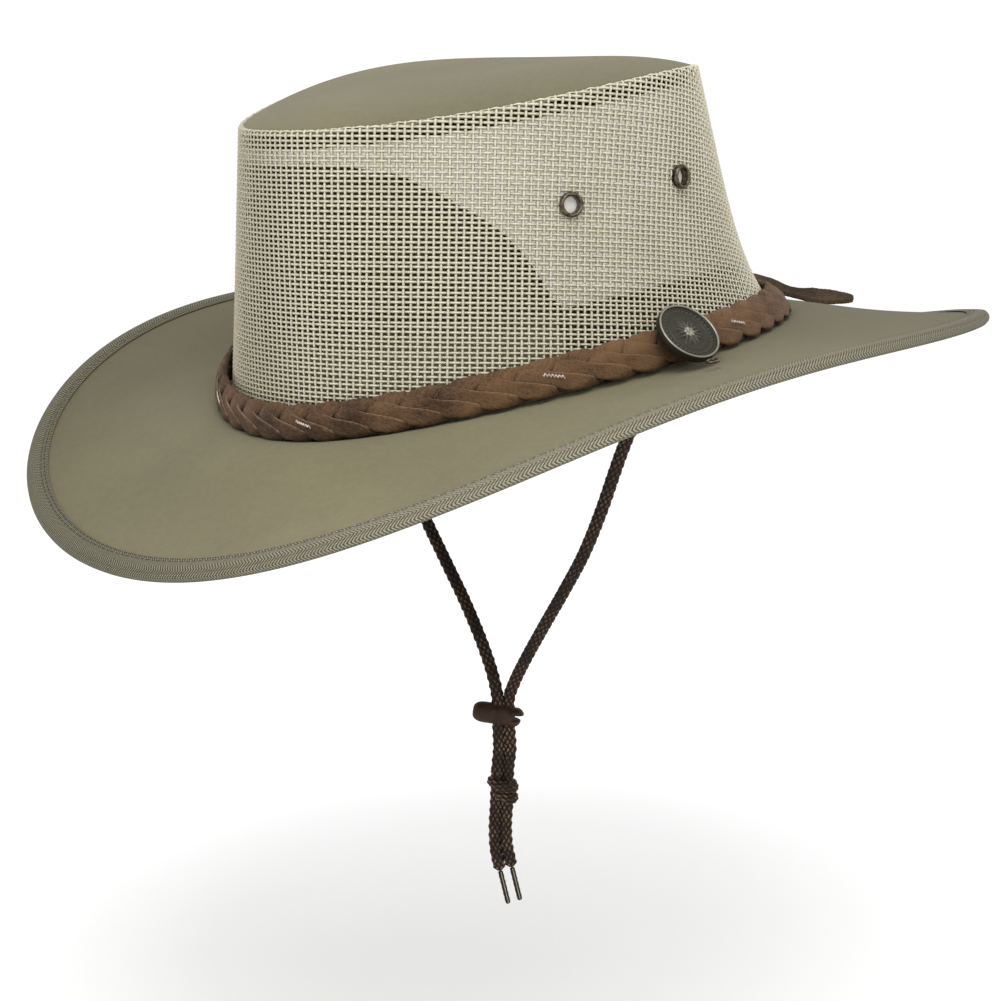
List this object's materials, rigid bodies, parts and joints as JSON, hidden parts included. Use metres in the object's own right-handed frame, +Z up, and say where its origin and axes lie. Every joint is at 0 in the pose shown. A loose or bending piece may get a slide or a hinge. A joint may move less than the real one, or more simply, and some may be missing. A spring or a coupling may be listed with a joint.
{
  "type": "drover hat",
  "caption": "Wide-brimmed drover hat with a ventilated net crown, canvas top and brim, plaited suede band, side badge and chin cord with a toggle.",
  "frame": {"origin": "middle of the head opening, at the crown's foot, where the hat sits on a head", "axes": "+Z up as worn; the front towards -Y and the wearer's left towards +X; the hat is pitched 9.5 degrees front down, as it is shown"},
  "size_m": [0.3126, 0.3498, 0.3133],
  "materials": {
    "canvas": "plain close-woven cotton canvas, matt",
    "net_yarn": "coated yarn in an open plain weave, slight sheen",
    "pale_cloth": "plain pale cloth, matt",
    "dark_cloth": "plain dark cloth, matt",
    "sweat_leather": "smooth brown leather",
    "tape": "herringbone tape with stitching",
    "suede": "brown suede, napped",
    "pewter": "dark antiqued pewter",
    "eyelet_metal": "aged nickel",
    "cord_braid": "tight dark brown braid",
    "toggle_plastic": "brown moulded plastic"
  },
  "bodies": {
    "root": {"crown_net": "net_yarn", "crown_rim": "net_yarn", "crown_top": "canvas", "crown_panel": "pale_cloth", "forehead_band": "canvas", "crown_lining": "dark_cloth", "sweatband": "sweat_leather", "brim": "canvas", "brim_binding": "tape", "hat_band": "suede", "band_tail": "suede", "eyelet_left_front": "eyelet_metal", "eyelet_left_rear": "eyelet_metal", "eyelet_right_front": "eyelet_metal", "eyelet_right_rear": "eyelet_metal", "badge": "pewter", "badge_loop": "eyelet_metal", "chin_cord_inner": "cord_braid", "chin_cord_left": "cord_braid", "chin_cord_right": "cord_braid", "cord_toggle": "toggle_plastic", "cord_knot": "cord_braid", "cord_end_left": "cord_braid", "cord_end_right": "cord_braid", "aglet_left": "pewter", "aglet_right": "pewter"}
  },
  "joints": []
}
